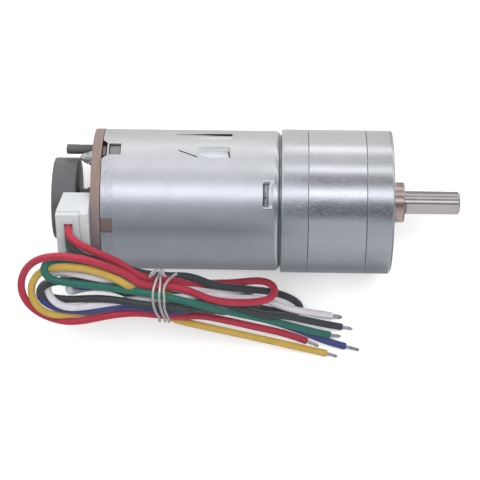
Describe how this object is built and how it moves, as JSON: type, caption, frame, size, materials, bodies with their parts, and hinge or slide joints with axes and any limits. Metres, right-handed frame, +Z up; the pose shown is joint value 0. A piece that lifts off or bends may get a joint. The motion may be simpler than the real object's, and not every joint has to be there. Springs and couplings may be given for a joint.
{
  "type": "geared dc motor",
  "caption": "Brushed dc motor with a round spur gearbox, D-cut output shaft, magnetic encoder on the tail and a plug-in wire harness.",
  "frame": {"origin": "centre of the output shaft's end face, 12.05 mm in front of the gearbox's front mounting face", "axes": "+X along the output shaft away from the motor, +Z up from the surface the motor lies on, with the harness on the -Y side"},
  "size_m": [0.0759, 0.0409, 0.0285],
  "materials": {
    "plated_steel": "satin zinc plating with a fine crystalline mottle",
    "ring_steel": "bright turned steel",
    "can_steel": "bright nickel plating with faint drawing marks",
    "gear_steel": "machined",
    "bronze": "sintered bronze",
    "brass": "plain",
    "copper": "bare copper",
    "magnet": "dark bonded ferrite",
    "brown_plastic": "moulded",
    "board": "bare laminate edge",
    "black_plastic": "moulded",
    "ceramic": "fired ceramic",
    "ivory_plastic": "moulded nylon",
    "solder": "tinned",
    "red_wire": "smooth PVC insulation",
    "black_wire": "smooth PVC insulation",
    "green_wire": "smooth PVC insulation",
    "blue_wire": "smooth PVC insulation",
    "yellow_wire": "smooth PVC insulation",
    "white_wire": "smooth PVC insulation"
  },
  "bodies": {
    "housing": {"gearbox_front_cover": "plated_steel", "gearbox_ring": "ring_steel", "gearbox_rear_cover": "plated_steel", "output_bush": "bronze", "cover_screw_1": "gear_steel", "cover_screw_2": "gear_steel", "cover_screw_3": "gear_steel", "gear_pin_a": "gear_steel", "gear_pin_b": "gear_steel", "motor_screw_1": "gear_steel", "motor_screw_2": "gear_steel", "motor_can": "can_steel", "front_bush": "bronze", "magnet_a": "magnet", "magnet_b": "magnet", "magnet_clip": "gear_steel", "end_cap": "brown_plastic", "rear_bush": "bronze", "brush_a": "copper", "brush_b": "copper", "motor_terminal_a": "brass", "motor_terminal_b": "brass", "encoder_board": "board", "hall_sensor_a": "black_plastic", "hall_sensor_b": "black_plastic", "board_resistor_a": "black_plastic", "board_resistor_b": "black_plastic", "board_capacitor": "ceramic", "connector_header": "ivory_plastic", "terminal_sleeve": "black_plastic", "terminal_solder": "solder"},
    "rotor": {"motor_shaft": "gear_steel", "armature_core": "gear_steel", "armature_winding": "copper", "commutator": "copper", "shaft_spacer": "brown_plastic", "motor_pinion": "brass", "encoder_magnet": "magnet"},
    "cluster_1": {"cluster_gear_1": "gear_steel"},
    "cluster_2": {"cluster_gear_2": "gear_steel"},
    "cluster_3": {"cluster_gear_3": "gear_steel"},
    "output": {"output_gear": "gear_steel", "output_shaft": "gear_steel", "retaining_clip": "gear_steel"},
    "harness": {"connector_plug": "ivory_plastic", "wire_red": "red_wire", "wire_black": "black_wire", "wire_green": "green_wire", "wire_blue": "blue_wire", "wire_yellow": "yellow_wire", "wire_white": "white_wire", "wire_end_red": "solder", "wire_end_black": "solder", "wire_end_green": "solder", "wire_end_blue": "solder", "wire_end_yellow": "solder", "wire_end_white": "solder", "twist_tie": "gear_steel"}
  },
  "joints": [
    {"name": "rotor_spin", "type": "hinge", "parent": "housing", "child": "rotor", "pos_m": [-0.04205, 0, 0], "axis": [1, 0, 0], "continuous": true},
    {"name": "output_spin", "type": "hinge", "parent": "housing", "child": "output", "pos_m": [-0.01205, 0, 0], "axis": [1, 0, 0], "continuous": true},
    {"name": "cluster_1_spin", "type": "hinge", "parent": "housing", "child": "cluster_1", "pos_m": [-0.02615, 0.0032, 0.00554], "axis": [1, 0, 0], "continuous": true},
    {"name": "cluster_2_spin", "type": "hinge", "parent": "housing", "child": "cluster_2", "pos_m": [-0.02315, -0.0032, 0.00554], "axis": [1, 0, 0], "continuous": true},
    {"name": "cluster_3_spin", "type": "hinge", "parent": "housing", "child": "cluster_3", "pos_m": [-0.02015, 0.0032, 0.00554], "axis": [1, 0, 0], "continuous": true},
    {"name": "plug_pull", "type": "slide", "parent": "housing", "child": "harness", "axis": [0, -0.617, 0.7869], "range_m": [0, 0.008]}
  ],
  "couplings": [
    {"joint": "cluster_1_spin", "follows": "rotor_spin", "ratio": -0.45455},
    {"joint": "cluster_2_spin", "follows": "rotor_spin", "ratio": 0.20661},
    {"joint": "cluster_3_spin", "follows": "rotor_spin", "ratio": -0.093914},
    {"joint": "output_spin", "follows": "rotor_spin", "ratio": 0.042688}
  ]
}
